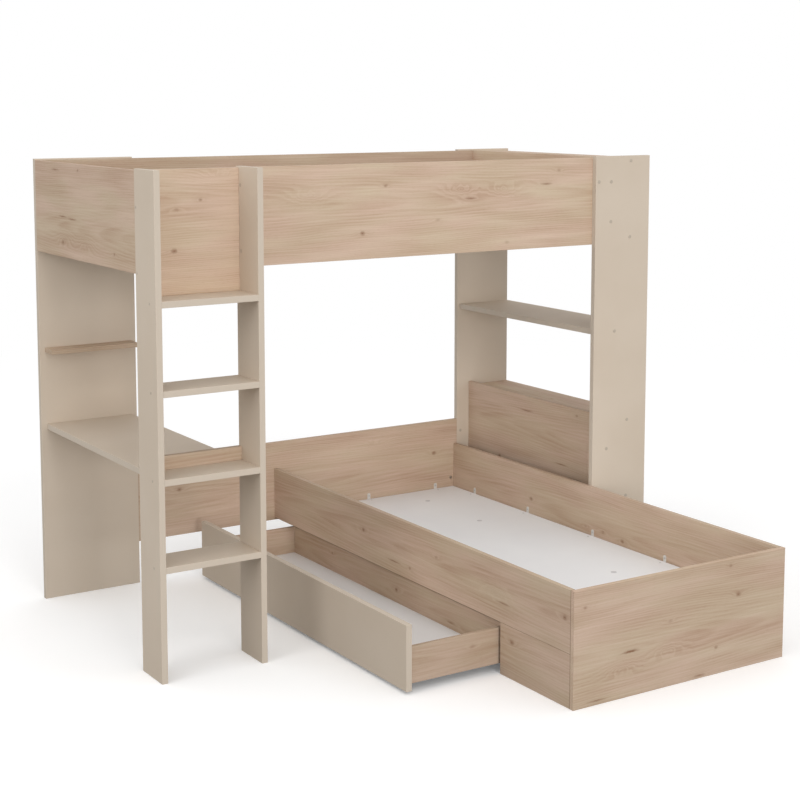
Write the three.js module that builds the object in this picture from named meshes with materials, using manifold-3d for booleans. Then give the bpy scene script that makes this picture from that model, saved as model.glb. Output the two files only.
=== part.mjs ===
// A corner bunk bed built from furniture boards.
// The upper bunk runs along X. The lower bed stands under it at right angles and comes forward.
// A ladder at the left carries one end of a desk, a bookcase stands at the right,
// and a drawer on castors rolls out from under the lower bed.
//
// Lengths are in millimetres. X runs to the right along the upper bunk from its left end,
// Y runs back from the lower bed's footboard, and Z runs up from the floor.
// The finished group is moved so that its origin is the middle of its footprint on the floor.

import * as THREE from 'three';
import { mergeVertices } from 'three/addons/utils/BufferGeometryUtils.js';
import Module from 'manifold-3d';

const wasm = await Module();
wasm.setup();

// Board thicknesses
const panelBoard = 22;
const woodBoard = 18;
const ladderBoard = 22;
const baseBoard = 16;
const drawerBoard = 16;

// Edge banding is eased to this radius on both faces of a board
const edgeEase = 1;
const easeSteps = 2;

// Room for the two mattresses
const mattressLength = 2000;
const mattressWidth = 900;
const lengthPlay = 10;
const upperWidthPlay = 7;
const lowerWidthPlay = 4;

// Full-height panels
const panelHeight = 1727;
const rearLeftWidth = 398;
const towerWidth = 278;
const bookcaseDepth = 190;

// Upper bunk's box
const guardHeight = 347;
const guardDrop = 5;
const ledgeHeight = 20;
const ledgeWidth = 20;

// Ladder, desk and wall shelf
const ladderWidth = 400;
const ladderDepth = 160;
const firstRungHeight = 400;
const rungPitch = 298.7;
const rungCount = 4;
const upstandHeight = 48;
const wallShelfDepth = 75;

// Cross board behind the lower bed
const crossHeight = 334;
const crossLift = 172;

// Bookcase and its low cabinet
const topShelfDrop = 11;
const upperShelfLift = 16;
const middleShelfHeight = 1032;
const middleShelfInset = 12;
const cabinetHeight = 658.5;
const cabinetFootGap = 5.5;
const cabinetLip = 15.5;
const cabinetSetback = 64;

// Lower bed
const bedHeight = 395;
const bedSideHeight = 213;
const plinthLength = 381;
const beamShare = 0.72;

// Clips that carry the lower bed's base
const clipWall = 2;
const clipWidth = 15;
const clipReach = 30;
const clipRise = 25;
const clipCorner = 5;
const clipHoleRadius = 2;
const clipHoleHeight = 14;
const clipCornerSteps = 4;
const basePlay = 0.5;
const sideClipShares = [0.078, 0.289, 0.504, 0.72, 0.915];
const crossClipShares = [0.11, 0.5, 0.89];

// Drawer
const drawerFrontLength = 1548;
const drawerFrontHeight = 227;
const drawerFrontLift = 11;
const drawerEndGap = 3;
const drawerSideInset = 9;
const drawerSideHeight = 126;
const drawerSideLift = 33;
const drawerBoxDepth = 412;
const drawerFaceGap = 1;
const drawerPull = 356;

// Castors under the drawer
const castorInsetAlong = 130;
const castorInsetAcross = 58;
const wheelRadius = 14;
const wheelWidth = 12;
const wheelRound = 2;
const hubRadius = 5;
const webRecess = 2;
const rimThickness = 4;
const axleRadius = 2.5;
const axlePlay = 0.3;
const cheekPlay = 0.8;
const cheekThickness = 2.5;
const cheekRadius = 8;
const castorPlateThickness = 2.5;
const castorPlateLength = 44;
const castorPlateWidth = 34;
const castorPlateCorner = 6;
const castorHoleRadius = 2;
const castorHoleInset = 6;

// Cap recesses over screws, and cam fittings
const capRadius = 5;
const capDepth = 3;
const camRadius = 7.5;
const camDepth = 12;
const camInset = 33;
const rungScrewInset = 51;
const backBoardScrewShares = [0.19, 0.71];
const guardCamMargin = 60;
const shelfScrewShares = [0.48];
const middleShelfScrewInset = 94;
const guardScrewInset = 16;
const guardScrewDrop = 96;
const endScrewShares = [0.26, 0.72];
const cabinetSideScrewShares = [0.18, 0.82];
const deskScrewInset = 95;
const crossCamLift = 67;
const bedScrewInset = 19;
const bedScrewRise = 56;

// One overrun serves every cut
const cutOverrun = 1;
const roundSteps = 12;
const wheelSteps = 32;

// Heights worked out from the driving sizes
const guardTop = panelHeight - guardDrop;
const guardBottom = guardTop - guardHeight;
const rungTops = Array.from({ length: rungCount }, (_, turn) => firstRungHeight + turn * rungPitch);
const [lowRungTop, deskHeight, highRungTop, topRungTop] = rungTops;
const bedBottom = bedHeight - bedSideHeight;
const baseTop = bedBottom + baseBoard;
const topShelfBottom = panelHeight - topShelfDrop - woodBoard;
const upperShelfBottom = guardBottom + upperShelfLift;
const cabinetFloor = cabinetFootGap + woodBoard;
const cabinetShelfTop = (cabinetFloor + cabinetHeight) / 2;

// Places along X
const upperInnerLength = mattressLength + lengthPlay;
const upperLength = upperInnerLength + 2 * woodBoard;
const overallWidth = upperLength + bookcaseDepth;
const towerLeft = overallWidth - towerWidth;
const lowerInnerWidth = mattressWidth + lowerWidthPlay;
const lowerWidth = lowerInnerWidth + 2 * woodBoard;
const bedNear = towerLeft - lowerWidth;
const bedFar = towerLeft;
const bedInnerNear = bedNear + woodBoard;
const bedInnerFar = bedFar - woodBoard;
const ladderInnerWidth = ladderWidth - 2 * panelBoard;
const cabinetSideLeft = towerLeft + cabinetSetback;
const cabinetLeft = cabinetSideLeft + woodBoard;

// Places along Y
const lowerInnerLength = mattressLength + lengthPlay;
const footInner = woodBoard;
const wallFront = footInner + lowerInnerLength;
const overallDepth = wallFront + panelBoard;
const upperWidth = mattressWidth + upperWidthPlay + 2 * woodBoard;
const upperFront = wallFront - upperWidth;
const ladderFront = upperFront - ladderDepth;

// Finishes
function finish(name, color, roughness, metalness = 0) {
  const material = new THREE.MeshStandardMaterial({ color, roughness, metalness });
  material.name = name;
  return material;
}

const woodDecor = finish('wood_decor', 0xc2a685, 0.55);
const paintedPanel = finish('painted_panel', 0xc3b5a2, 0.5);
const whiteBoard = finish('white_board', 0xe4e2de, 0.5);
const clipPlastic = finish('clip_plastic', 0xe9e7e2, 0.4);
const castorPlastic = finish('castor_plastic', 0x3a3a3c, 0.45);
const wheelPlastic = finish('wheel_plastic', 0x55565a, 0.6);

const bed = new THREE.Group();
const carcass = new THREE.Group();
const drawer = new THREE.Group();
bed.add(carcass, drawer);

// Hangs a named piece in its group at the given place.
function place(group, name, geometry, material, position) {
  const mesh = new THREE.Mesh(geometry, material);
  mesh.name = name;
  mesh.position.set(...position);
  group.add(mesh);
  return mesh;
}

// Closed solid for joining and cutting.
function solidOf(geometry) {
  const bare = geometry.clone();
  bare.deleteAttribute('normal');
  bare.deleteAttribute('uv');
  const merged = mergeVertices(bare);
  return new wasm.Manifold(new wasm.Mesh({
    numProp: 3,
    vertProperties: new Float32Array(merged.attributes.position.array),
    triVerts: new Uint32Array(merged.index.array),
  }));
}

// Geometry of a finished solid.
function geometryOf(solid) {
  const mesh = solid.getMesh();
  const geometry = new THREE.BufferGeometry();
  geometry.setAttribute('position', new THREE.BufferAttribute(mesh.vertProperties, 3));
  geometry.setIndex(new THREE.BufferAttribute(mesh.triVerts, 1));
  geometry.computeVertexNormals();
  return geometry;
}

// A board with one corner at its own origin. It is extruded through its thickness,
// and the edges of both faces are eased.
function boardGeometry(size) {
  const thin = size.indexOf(Math.min(...size));
  const across = (thin + 1) % 3;
  const along = (thin + 2) % 3;
  const outline = new THREE.Shape();
  outline.moveTo(0, 0);
  outline.lineTo(size[across], 0);
  outline.lineTo(size[across], size[along]);
  outline.lineTo(0, size[along]);
  outline.closePath();
  const geometry = new THREE.ExtrudeGeometry(outline, {
    depth: size[thin] - 2 * edgeEase,
    bevelThickness: edgeEase,
    bevelSize: edgeEase,
    bevelOffset: -edgeEase,
    bevelSegments: easeSteps,
  });
  geometry.translate(0, 0, edgeEase);
  const axes = [0, 1, 2].map((axis) => new THREE.Vector3().setComponent(axis, 1));
  geometry.applyMatrix4(new THREE.Matrix4().makeBasis(axes[across], axes[along], axes[thin]));
  return geometry;
}

// A round cutter that enters a board face at a point and goes in against the face's outward direction.
function cutter(point, outward, radius, depth) {
  const rod = new THREE.CylinderGeometry(radius, radius, depth + cutOverrun, roundSteps);
  const direction = new THREE.Vector3(...outward);
  rod.applyQuaternion(new THREE.Quaternion().setFromUnitVectors(new THREE.Vector3(0, 1, 0), direction));
  const middle = direction.multiplyScalar((cutOverrun - depth) / 2).add(new THREE.Vector3(...point));
  rod.translate(middle.x, middle.y, middle.z);
  return solidOf(rod);
}

const capCut = (point, outward) => cutter(point, outward, capRadius, capDepth);
const camCut = (point, outward) => cutter(point, outward, camRadius, camDepth);

// Hangs a board between two opposite corners. Cuts are given in the same places as the corners.
function board(group, name, material, low, high, cuts = []) {
  const size = high.map((value, axis) => value - low[axis]);
  let geometry = boardGeometry(size);
  if (cuts.length > 0) {
    const back = low.map((value) => -value);
    const tools = cuts.map((tool) => tool.translate(back));
    geometry = geometryOf(tools.reduce((rest, tool) => rest.subtract(tool), solidOf(geometry)));
  }
  return place(group, name, geometry, material, low);
}

const towardLeft = [-1, 0, 0];
const towardRight = [1, 0, 0];
const towardFront = [0, -1, 0];
const towardBack = [0, 1, 0];
const share = (low, high, part) => low + (high - low) * part;

// Screw places on the bookcase's end panels, as X and Z, one set for both panels.
function towerScrews() {
  const shelfLeft = upperLength;
  const shelfX = shelfScrewShares.map((part) => share(shelfLeft, overallWidth, part));
  const endX = upperLength - woodBoard / 2;
  const cabinetX = cabinetSideLeft + woodBoard / 2;
  const shelfBottoms = [topShelfBottom, upperShelfBottom, cabinetHeight - woodBoard];
  shelfBottoms.push(cabinetShelfTop - woodBoard);
  const shelfScrews = shelfX.flatMap((x) => shelfBottoms.map((bottom) => [x, bottom + woodBoard / 2]));
  const middle = [towerLeft + middleShelfInset + middleShelfScrewInset, middleShelfHeight - panelBoard / 2];
  const guard = [towerLeft + guardScrewInset, guardTop - guardScrewDrop];
  const ends = endScrewShares.map((part) => [endX, share(guardBottom, guardTop, part)]);
  const sides = cabinetSideScrewShares.map((part) => [cabinetX, share(0, cabinetHeight, part)]);
  return [...shelfScrews, middle, guard, ...ends, ...sides];
}

// Full-height panels against the wall and at the bookcase's front.
function addPanels() {
  const back = overallDepth;
  const deskCentre = deskHeight - panelBoard / 2;
  const deskScrews = [deskScrewInset, rearLeftWidth - deskScrewInset].map((x) => [x, deskCentre]);
  const leftCuts = deskScrews.map(([x, z]) => capCut([x, back, z], towardBack));
  board(carcass, 'rear_left_panel', paintedPanel,
    [0, wallFront, 0], [rearLeftWidth, back, panelHeight], leftCuts);

  const rearCuts = towerScrews().map(([x, z]) => capCut([x, back, z], towardBack));
  rearCuts.push(capCut([towerLeft + bedScrewInset, wallFront, bedHeight + bedScrewRise], towardFront));
  board(carcass, 'rear_right_panel', paintedPanel,
    [towerLeft, wallFront, 0], [overallWidth, back, panelHeight], rearCuts);

  const frontFace = upperFront - panelBoard;
  const frontCuts = towerScrews().map(([x, z]) => capCut([x, frontFace, z], towardFront));
  board(carcass, 'front_right_panel', paintedPanel,
    [towerLeft, frontFace, 0], [overallWidth, upperFront, panelHeight], frontCuts);
}

// Two stiles, three loose rungs, the back board over the top rung.
function addLadder() {
  const screwY = ladderFront + rungScrewInset;
  const backBoardY = upperFront - ladderBoard / 2;
  const camY = upperFront - camInset;
  const rungPlaces = rungTops.map((top) => [screwY, top - panelBoard / 2]);
  const backPlaces = backBoardScrewShares.map((part) => [backBoardY, share(topRungTop, guardTop, part)]);
  const screwPlaces = [...rungPlaces, ...backPlaces];
  const camHeights = [guardBottom + guardCamMargin, guardTop - guardCamMargin];

  const stile = (name, left, outward, outerX, innerX) => {
    const inward = [-outward[0], 0, 0];
    const cuts = [
      ...screwPlaces.map(([y, z]) => capCut([outerX, y, z], outward)),
      ...camHeights.map((z) => camCut([innerX, camY, z], inward)),
    ];
    board(carcass, name, paintedPanel,
      [left, ladderFront, 0], [left + panelBoard, upperFront, panelHeight], cuts);
  };
  stile('ladder_left_stile', 0, towardLeft, 0, panelBoard);
  stile('ladder_right_stile', ladderWidth - panelBoard, towardRight, ladderWidth, ladderWidth - panelBoard);

  const left = panelBoard;
  const right = ladderWidth - panelBoard;
  const rungs = { ladder_rung_low: lowRungTop, ladder_rung_high: highRungTop, ladder_rung_top: topRungTop };
  for (const [name, top] of Object.entries(rungs)) {
    board(carcass, name, paintedPanel, [left, ladderFront, top - panelBoard], [right, upperFront, top]);
  }
  const boardFront = upperFront - ladderBoard;
  board(carcass, 'ladder_back_board', woodDecor,
    [left, boardFront, topRungTop], [right, upperFront, guardTop]);
}

// The desk's front end is the ladder's second rung. Its rear end meets the wall panel.
function addDesk() {
  const left = panelBoard;
  const right = panelBoard + ladderInnerWidth;
  board(carcass, 'desk_top', paintedPanel,
    [left, ladderFront, deskHeight - panelBoard], [right, wallFront, deskHeight]);
  board(carcass, 'desk_upstand', woodDecor,
    [left, upperFront - ladderBoard, deskHeight], [right, upperFront, deskHeight + upstandHeight]);
  board(carcass, 'wall_shelf', woodDecor,
    [left, wallFront - wallShelfDepth, highRungTop - woodBoard], [right, wallFront, highRungTop]);
}

// The upper bunk's box, with a base board on two ledges.
function addUpperBunk() {
  const innerLeft = woodBoard;
  const innerRight = upperLength - woodBoard;
  const innerFront = upperFront + woodBoard;
  const innerBack = wallFront - woodBoard;
  board(carcass, 'upper_left_end', woodDecor, [0, upperFront, guardBottom], [innerLeft, wallFront, guardTop]);
  board(carcass, 'upper_right_end', woodDecor,
    [innerRight, upperFront, guardBottom], [upperLength, wallFront, guardTop]);
  board(carcass, 'upper_front_rail', woodDecor,
    [innerLeft, upperFront, guardBottom], [innerRight, innerFront, guardTop]);
  board(carcass, 'upper_rear_rail', woodDecor,
    [innerLeft, innerBack, guardBottom], [innerRight, wallFront, guardTop]);

  const ledgeTop = guardBottom + ledgeHeight;
  board(carcass, 'upper_front_ledge', woodDecor,
    [innerLeft, innerFront, guardBottom], [innerRight, innerFront + ledgeWidth, ledgeTop]);
  board(carcass, 'upper_rear_ledge', woodDecor,
    [innerLeft, innerBack - ledgeWidth, guardBottom], [innerRight, innerBack, ledgeTop]);
  board(carcass, 'upper_base', whiteBoard,
    [innerLeft + basePlay, innerFront + basePlay, ledgeTop],
    [innerRight - basePlay, innerBack - basePlay, ledgeTop + baseBoard]);
}

// The board between the two rear panels, held by a cam at each end.
function addCrossBoard() {
  const cams = [rearLeftWidth + camInset, towerLeft - camInset];
  const cuts = cams.map((x) => camCut([x, wallFront, crossLift + crossCamLift], towardFront));
  board(carcass, 'cross_board', woodDecor,
    [rearLeftWidth, wallFront, crossLift], [towerLeft, wallFront + woodBoard, crossLift + crossHeight], cuts);
}

// Shelves between the two right-hand panels.
function addBookcase() {
  const shelf = (name, material, left, bottom, thickness) => {
    board(carcass, name, material, [left, upperFront, bottom], [overallWidth, wallFront, bottom + thickness]);
  };
  shelf('bookcase_top_shelf', woodDecor, upperLength, topShelfBottom, woodBoard);
  shelf('bookcase_upper_shelf', woodDecor, upperLength, upperShelfBottom, woodBoard);
  shelf('bookcase_middle_shelf', paintedPanel,
    towerLeft + middleShelfInset, middleShelfHeight - panelBoard, panelBoard);
  const cabinetTops = {
    cabinet_top: cabinetHeight,
    cabinet_shelf: cabinetShelfTop,
    cabinet_bottom: cabinetFloor,
  };
  for (const [name, top] of Object.entries(cabinetTops)) {
    shelf(name, woodDecor, cabinetLeft, top - woodBoard, woodBoard);
  }
  board(carcass, 'cabinet_side', woodDecor,
    [cabinetSideLeft, upperFront, 0], [cabinetLeft, wallFront, cabinetHeight + cabinetLip]);
}

// One base clip: a tab against the bed's side and a flange under the base.
// The tab's back is at X = 0, the flange reaches along +X and the base rests at Z = 0.
function clipGeometry() {
  const top = baseBoard + clipRise;
  const profile = new THREE.Shape();
  profile.moveTo(0, -clipWall);
  profile.lineTo(clipReach, -clipWall);
  profile.lineTo(clipReach, 0);
  profile.lineTo(clipWall, 0);
  profile.lineTo(clipWall, top);
  profile.lineTo(0, top);
  profile.closePath();
  const bar = new THREE.ExtrudeGeometry(profile, { depth: clipWidth, bevelEnabled: false });
  bar.rotateX(Math.PI / 2);
  bar.translate(0, clipWidth / 2, 0);

  const half = clipWidth / 2;
  const face = new THREE.Shape();
  face.moveTo(-half, -clipWall - cutOverrun);
  face.lineTo(half, -clipWall - cutOverrun);
  face.lineTo(half, top - clipCorner);
  face.absarc(half - clipCorner, top - clipCorner, clipCorner, 0, Math.PI / 2);
  face.absarc(clipCorner - half, top - clipCorner, clipCorner, Math.PI / 2, Math.PI);
  face.closePath();
  const rounder = new THREE.ExtrudeGeometry(face, {
    depth: clipReach + 2 * cutOverrun,
    bevelEnabled: false,
    curveSegments: clipCornerSteps,
  });
  rounder.rotateX(Math.PI / 2);
  rounder.rotateZ(Math.PI / 2);
  rounder.translate(-cutOverrun, 0, 0);

  const mouth = [clipWall, 0, baseBoard + clipHoleHeight];
  const hole = cutter(mouth, towardRight, clipHoleRadius, clipWall + cutOverrun);
  return geometryOf(solidOf(bar).intersect(solidOf(rounder)).subtract(hole));
}

// Clips along both sides and the cross board. They stand clear of the base by their own wall.
function addClips() {
  const geometry = clipGeometry();
  const clip = (name, x, y, turn) => {
    place(carcass, name, geometry, clipPlastic, [x, y, bedBottom]).rotation.z = turn;
  };
  sideClipShares.forEach((part, index) => {
    const y = share(footInner, wallFront, part);
    clip(`near_clip_${index + 1}`, bedInnerNear, y, 0);
    clip(`far_clip_${index + 1}`, bedInnerFar, y, Math.PI);
  });
  crossClipShares.forEach((part, index) => {
    clip(`cross_clip_${index + 1}`, share(bedInnerNear, bedInnerFar, part), wallFront, -Math.PI / 2);
  });
}

// The lower bed: sides on plinths, footboard, base on clips and a centre beam.
function addLowerBed() {
  board(carcass, 'footboard', woodDecor, [bedNear, 0, 0], [bedFar, footInner, bedHeight]);
  const sides = { near: [bedNear, bedInnerNear], far: [bedInnerFar, bedFar] };
  for (const [side, [left, right]] of Object.entries(sides)) {
    board(carcass, `lower_${side}_side`, woodDecor,
      [left, footInner, bedBottom], [right, wallFront, bedHeight]);
    board(carcass, `lower_${side}_plinth`, woodDecor,
      [left, footInner, 0], [right, footInner + plinthLength, bedBottom]);
  }
  const beamCentre = share(bedInnerNear, bedInnerFar, beamShare);
  board(carcass, 'lower_centre_beam', woodDecor,
    [beamCentre - woodBoard / 2, footInner, 0], [beamCentre + woodBoard / 2, wallFront, bedBottom]);
  const inset = clipWall + basePlay;
  board(carcass, 'lower_base', whiteBoard,
    [bedInnerNear + inset, footInner + basePlay, bedBottom],
    [bedInnerFar - inset, wallFront - inset, baseTop]);
}

// Places of the drawer as it stands pulled out.
const drawerFace = bedNear - drawerFaceGap - drawerPull;
const drawerBack = drawerFace + drawerBoxDepth;
const drawerNear = footInner + plinthLength + drawerEndGap;
const drawerFar = drawerNear + drawerFrontLength;
const drawerSideTop = drawerSideLift + drawerSideHeight;

// The drawer's front laps over the ends and the top of its box.
function addDrawerBox() {
  const frontTop = drawerFrontLift + drawerFrontHeight;
  board(drawer, 'drawer_front', paintedPanel,
    [drawerFace - panelBoard, drawerNear, drawerFrontLift], [drawerFace, drawerFar, frontTop]);
  const nearOuter = drawerNear + drawerSideInset;
  const farOuter = drawerFar - drawerSideInset;
  const nearInner = nearOuter + drawerBoard;
  const farInner = farOuter - drawerBoard;
  board(drawer, 'drawer_near_side', woodDecor,
    [drawerFace, nearOuter, drawerSideLift], [drawerBack, nearInner, drawerSideTop]);
  board(drawer, 'drawer_far_side', woodDecor,
    [drawerFace, farInner, drawerSideLift], [drawerBack, farOuter, drawerSideTop]);
  const backInner = drawerBack - drawerBoard;
  board(drawer, 'drawer_back', woodDecor,
    [backInner, nearInner, drawerSideLift], [drawerBack, farInner, drawerSideTop]);
  board(drawer, 'drawer_bottom', whiteBoard,
    [drawerFace, nearInner, drawerSideLift], [backInner, farInner, drawerSideLift + baseBoard]);
}

// A fixed castor's housing about its axle, which runs along Y through the origin.
function castorHousingGeometry() {
  const plateTop = drawerSideLift - wheelRadius;
  const plateBottom = plateTop - castorPlateThickness;
  const halfLength = castorPlateLength / 2;
  const halfWidth = castorPlateWidth / 2;
  const corner = castorPlateCorner;
  const plan = new THREE.Shape();
  plan.absarc(halfLength - corner, halfWidth - corner, corner, 0, Math.PI / 2);
  plan.absarc(corner - halfLength, halfWidth - corner, corner, Math.PI / 2, Math.PI);
  plan.absarc(corner - halfLength, corner - halfWidth, corner, Math.PI, 1.5 * Math.PI);
  plan.absarc(halfLength - corner, corner - halfWidth, corner, 1.5 * Math.PI, 2 * Math.PI);
  plan.closePath();
  const plate = new THREE.ExtrudeGeometry(plan, {
    depth: castorPlateThickness,
    bevelEnabled: false,
    curveSegments: clipCornerSteps,
  });
  plate.translate(0, 0, plateBottom);

  const slopeTop = plateBottom + castorPlateThickness / 2;
  const ear = new THREE.Shape();
  ear.moveTo(halfLength - corner, slopeTop);
  ear.lineTo(corner - halfLength, slopeTop);
  ear.absarc(0, 0, cheekRadius, Math.PI, 2 * Math.PI);
  ear.closePath();
  const cheekInner = wheelWidth / 2 + cheekPlay;
  const cheekOuter = cheekInner + cheekThickness;
  const cheek = (front) => {
    const wall = new THREE.ExtrudeGeometry(ear, {
      depth: cheekThickness,
      bevelEnabled: false,
      curveSegments: roundSteps / 2,
    });
    wall.rotateX(Math.PI / 2);
    wall.translate(0, front + cheekThickness, 0);
    return solidOf(wall);
  };
  const axle = new THREE.CylinderGeometry(axleRadius, axleRadius, 2 * cheekOuter, roundSteps);
  const holeX = halfLength - castorHoleInset;
  const holes = [holeX, -holeX].map((x) => (
    cutter([x, halfWidth - castorHoleInset, plateBottom], [0, 0, -1], castorHoleRadius,
      castorPlateThickness + cutOverrun)
  ));
  const housing = solidOf(plate).add(cheek(cheekInner)).add(cheek(-cheekOuter)).add(solidOf(axle));
  return geometryOf(holes.reduce((rest, hole) => rest.subtract(hole), housing));
}

// A castor wheel turned about Y, with a hub, a thin web and a rounded tread.
function castorWheelGeometry() {
  const half = wheelWidth / 2;
  const bore = axleRadius + axlePlay;
  const rimInner = wheelRadius - rimThickness;
  const points = [
    [bore, -half],
    [hubRadius, -half],
    [hubRadius, webRecess - half],
    [rimInner, webRecess - half],
    [rimInner, -half],
    [wheelRadius - wheelRound, -half],
    [wheelRadius, wheelRound - half],
    [wheelRadius, half - wheelRound],
    [wheelRadius - wheelRound, half],
    [rimInner, half],
    [rimInner, half - webRecess],
    [hubRadius, half - webRecess],
    [hubRadius, half],
    [bore, half],
    [bore, -half],
  ].map(([radius, y]) => new THREE.Vector2(radius, y));
  const wheel = new THREE.LatheGeometry(points, wheelSteps);
  return geometryOf(solidOf(wheel));
}

// Four fixed castors under the drawer's bottom, rolling along X.
function addCastors() {
  const housing = castorHousingGeometry();
  const wheel = castorWheelGeometry();
  const across = { front: drawerFace + castorInsetAcross, back: drawerBack - castorInsetAcross };
  const along = { near: drawerNear + castorInsetAlong, far: drawerFar - castorInsetAlong };
  for (const [depthName, x] of Object.entries(across)) {
    for (const [endName, y] of Object.entries(along)) {
      const axle = [x, y, wheelRadius];
      place(drawer, `castor_housing_${depthName}_${endName}`, housing, castorPlastic, axle);
      place(drawer, `castor_wheel_${depthName}_${endName}`, wheel, wheelPlastic, axle);
    }
  }
}

addPanels();
addLadder();
addDesk();
addUpperBunk();
addCrossBoard();
addBookcase();
addLowerBed();
addClips();
addDrawerBox();
addCastors();

bed.position.set(-overallWidth / 2, -overallDepth / 2, 0);

export default bed;
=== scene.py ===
"""Looks of the corner bunk bed: the finishes of its boards, its caps, cams and screws, studio and camera.

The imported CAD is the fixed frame. Lengths are in metres in the CAD's own axes: X runs to the right along
the upper bunk, Y runs back to the wall and Z runs up from the floor.
"""

import logging
import math
from collections.abc import Callable, Iterable
from dataclasses import dataclass, field
from enum import Enum, IntEnum
from functools import partial

import bmesh
import bpy
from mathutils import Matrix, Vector


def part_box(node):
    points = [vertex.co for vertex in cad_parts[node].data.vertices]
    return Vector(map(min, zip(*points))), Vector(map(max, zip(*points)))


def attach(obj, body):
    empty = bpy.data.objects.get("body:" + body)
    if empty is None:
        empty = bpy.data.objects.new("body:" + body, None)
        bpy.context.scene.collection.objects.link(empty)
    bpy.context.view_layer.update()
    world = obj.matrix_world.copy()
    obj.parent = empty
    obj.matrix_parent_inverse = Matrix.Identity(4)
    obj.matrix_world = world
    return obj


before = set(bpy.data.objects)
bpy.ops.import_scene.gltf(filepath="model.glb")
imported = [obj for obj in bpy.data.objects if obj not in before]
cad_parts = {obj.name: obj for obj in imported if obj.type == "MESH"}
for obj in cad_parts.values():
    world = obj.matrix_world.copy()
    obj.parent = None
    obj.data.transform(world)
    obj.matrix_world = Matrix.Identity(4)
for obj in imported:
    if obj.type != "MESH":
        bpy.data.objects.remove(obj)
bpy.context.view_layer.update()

LOG = logging.getLogger("bunk_bed")
MM = 0.001
UP = Vector((0.0, 0.0, 1.0))

# Sockets of the Mix node when it mixes colours
MIX_FIRST = 6
MIX_SECOND = 7

SRGB_KNEE = 0.04045
SRGB_SLOPE = 12.92
SRGB_OFFSET = 0.055
SRGB_POWER = 2.4
BRIGHTEST = 255

# How far a normal turns out of a board's thickness on its face and on its edge band
FACE_TURN = 0.8
EDGE_TURN = 0.3

# For picking faces and edges by how near they lie to a height and how squarely they look up or down
TOUCH = 0.01 * MM
LOOKS_UP = 0.99

Object = bpy.types.Object
Material = bpy.types.Material
Add = Callable[..., bpy.types.Node]
Wire = bpy.types.Node | bpy.types.NodeSocket | float
Part = bmesh.types.BMFace | bmesh.types.BMEdge
Pair = tuple[float, float]
Triple = tuple[float, float, float]


class Axis(IntEnum):
    """The three directions of the room."""

    X = 0
    Y = 1
    Z = 2


class Lie(Enum):
    """The way that a board lies, as the axes along its grain, across its grain and through the board."""

    RAIL = (Axis.X, Axis.Z, Axis.Y)
    SIDE = (Axis.Y, Axis.Z, Axis.X)
    SHELF = (Axis.Y, Axis.X, Axis.Z)
    WALL_SHELF = (Axis.X, Axis.Y, Axis.Z)


class Facing(Enum):
    """The way that a face looks."""

    LEFT = (-1.0, 0.0, 0.0)
    RIGHT = (1.0, 0.0, 0.0)
    FRONT = (0.0, -1.0, 0.0)
    BACK = (0.0, 1.0, 0.0)
    TOP = (0.0, 0.0, 1.0)
    BOTTOM = (0.0, 0.0, -1.0)


class Side(Enum):
    """The edges at a board's low corner, each by the board coordinate that is 0 there."""

    START = "X"
    LOW = "Y"


@dataclass(frozen=True)
class KnotShape:
    """Sizes of one kind of mark in the wood print, in metres, as half lengths.

    core is the dark spot and eddy is the patch of grain that flows round it. curl is how far the grain
    there swings to and fro.
    """

    core_along: float
    core_across: float
    eddy_along: float
    eddy_across: float
    darkness: float
    curl: float = 0.0


class Mark(Enum):
    """Kinds of mark in the wood print."""

    KNOT = KnotShape(14 * MM, 11 * MM, 70 * MM, 26 * MM, 0.6)
    PIN_KNOT = KnotShape(10 * MM, 8 * MM, 45 * MM, 17 * MM, 0.45)
    EYE = KnotShape(34 * MM, 5.5 * MM, 110 * MM, 24 * MM, 0.52)
    STREAK = KnotShape(52 * MM, 4.5 * MM, 100 * MM, 12 * MM, 0.55)
    FAINT = KnotShape(14 * MM, 9 * MM, 55 * MM, 18 * MM, 0.25)
    SWIRL = KnotShape(60 * MM, 14 * MM, 150 * MM, 48 * MM, 0.04, 2.4 * MM)


@dataclass(frozen=True)
class Seat:
    """A place for a fitting: a point on a face and the way that the face looks."""

    point: Vector
    facing: Facing


def linear(colour: str) -> tuple[float, float, float, float]:
    """Turns an sRGB hex colour to linear light.

    Args:
        colour: Six hex digits after a hash sign.

    Returns:
        Linear red, green and blue, and full alpha.
    """
    parts = [int(colour[start:start + 2], 16) / BRIGHTEST for start in (1, 3, 5)]
    red, green, blue = (
        part / SRGB_SLOPE if part <= SRGB_KNEE else ((part + SRGB_OFFSET) / (1 + SRGB_OFFSET)) ** SRGB_POWER
        for part in parts
    )
    return red, green, blue, 1.0


def add_node(tree: bpy.types.NodeTree, kind: str, inputs: dict | None = None, **settings) -> bpy.types.Node:
    """Adds one node to a material, with its settings, values and links.

    Args:
        tree: The material's node tree.
        kind: The node's type name, without the ShaderNode that it starts with.
        inputs: What each input gets, by name or number: a node, for the first output that it has in use,
            an output, or a value.
        **settings: The node's own properties.

    Returns:
        The new node.
    """
    node = tree.nodes.new(f"ShaderNode{kind}")
    for name, value in settings.items():
        setattr(node, name, value)
    for key, value in (inputs or {}).items():
        source = value
        if isinstance(value, bpy.types.Node):
            source = next(output for output in value.outputs if output.enabled)
        if isinstance(source, bpy.types.NodeSocket):
            tree.links.new(source, node.inputs[key])
        else:
            node.inputs[key].default_value = source
    return node


def new_material(name: str) -> tuple[Material, Add]:
    """Makes an empty material.

    Args:
        name: Its name.

    Returns:
        The material, and the function that adds nodes to it.
    """
    material = bpy.data.materials.new(name)
    material.use_nodes = True
    material.node_tree.nodes.clear()
    return material, partial(add_node, material.node_tree)


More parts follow.
